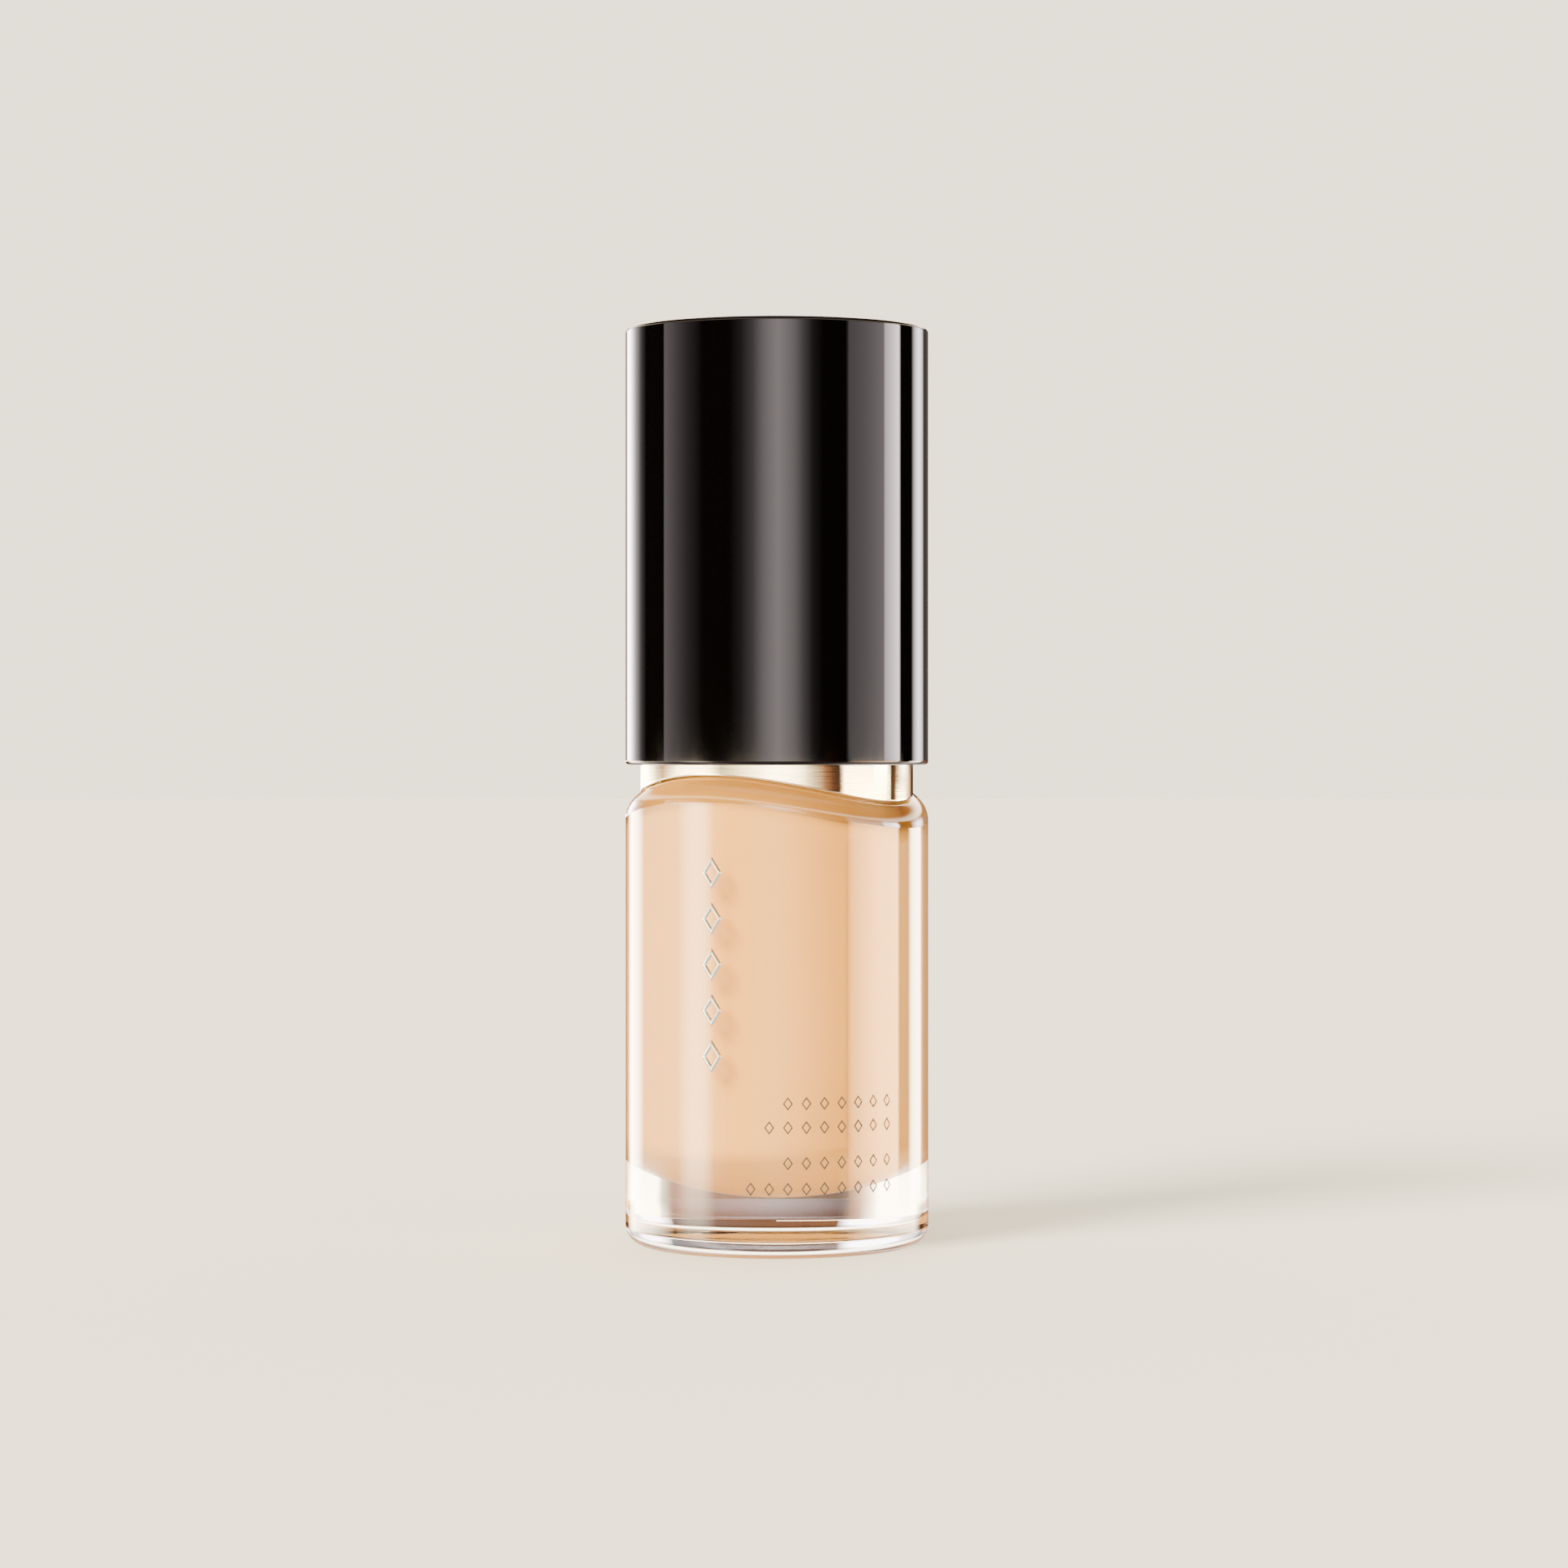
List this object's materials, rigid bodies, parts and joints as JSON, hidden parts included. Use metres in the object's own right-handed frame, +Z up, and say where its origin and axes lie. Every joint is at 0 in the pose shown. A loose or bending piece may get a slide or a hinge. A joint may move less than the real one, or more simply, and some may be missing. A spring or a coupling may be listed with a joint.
{
  "type": "foundation pump bottle",
  "caption": "Round glass cosmetic bottle with a waved shoulder, gold collar, treatment pump and tall gloss black overcap.",
  "frame": {"origin": "Centre of the standing ring: on the bottle's axis, at the lowest plane of the glass", "axes": "+Z up along the bottle's axis, -Y is the side with the emblem and the pump's spout, +X is to the right seen from that side"},
  "size_m": [0.036, 0.036, 0.1085],
  "materials": {
    "glass": "clear, polished, thick-walled",
    "liquid": "opaque cream, peach-beige, wet against the glass",
    "foil": "hot-stamped pale champagne foil, mirror-like",
    "print": "thin hot-stamped silver-grey film",
    "gold": "anodised pale gold, polished",
    "black_gloss": "piano black with a faint warm tint, polished",
    "black_satin": "moulded black, satin",
    "white_plastic": "natural white moulded polypropylene",
    "clear_tube": "milky extruded tube",
    "seal": "soft white polyethylene foam or elastomer",
    "steel": "drawn stainless steel wire, bright"
  },
  "bodies": {
    "bottle": {"glass_bottle": "glass", "foundation_liquid": "liquid", "foil_emblem": "foil", "printed_marks": "print", "gold_collar": "gold", "collar_carrier": "black_satin"},
    "overcap": {"cap_shell": "black_gloss", "cap_liner": "black_satin", "cap_weight": "steel"},
    "closure": {"screw_closure": "black_gloss"},
    "pump_core": {"pump_housing": "white_plastic", "neck_gasket": "seal", "turret": "white_plastic", "dip_tube": "clear_tube", "return_spring": "steel"},
    "valve_ball": {"inlet_ball": "steel"},
    "plunger": {"piston_seal": "seal"},
    "head": {"pump_stem": "white_plastic", "actuator_core": "black_satin", "actuator_shell": "black_gloss", "nozzle_spout": "black_gloss"}
  },
  "joints": [
    {"name": "cap_pull", "type": "slide", "parent": "bottle", "child": "overcap", "axis": [0, 0, 1], "range_m": [0, 0.06]},
    {"name": "closure_rise", "type": "slide", "parent": "bottle", "child": "pump_core", "axis": [0, 0, 1], "range_m": [0, 0.00476]},
    {"name": "closure_turn", "type": "hinge", "parent": "pump_core", "child": "closure", "pos_m": [0, 0, 0.0643], "axis": [0, 0, 1], "range_deg": [0, 540]},
    {"name": "pump_press", "type": "slide", "parent": "pump_core", "child": "plunger", "axis": [0, 0, -1], "range_m": [0, 0.004], "stiffness_N_per_m": 1500, "springref_m": -0.004, "deforming": ["return_spring"]},
    {"name": "head_swivel", "type": "hinge", "parent": "plunger", "child": "head", "pos_m": [0, 0, 0.088], "axis": [0, 0, 1], "continuous": true},
    {"name": "inlet_ball_lift", "type": "slide", "parent": "pump_core", "child": "valve_ball", "axis": [0, 0, 1], "range_m": [0, 0.001]}
  ],
  "couplings": [
    {"joint": "closure_turn", "follows": "closure_rise", "rad_per_m": 1979}
  ]
}
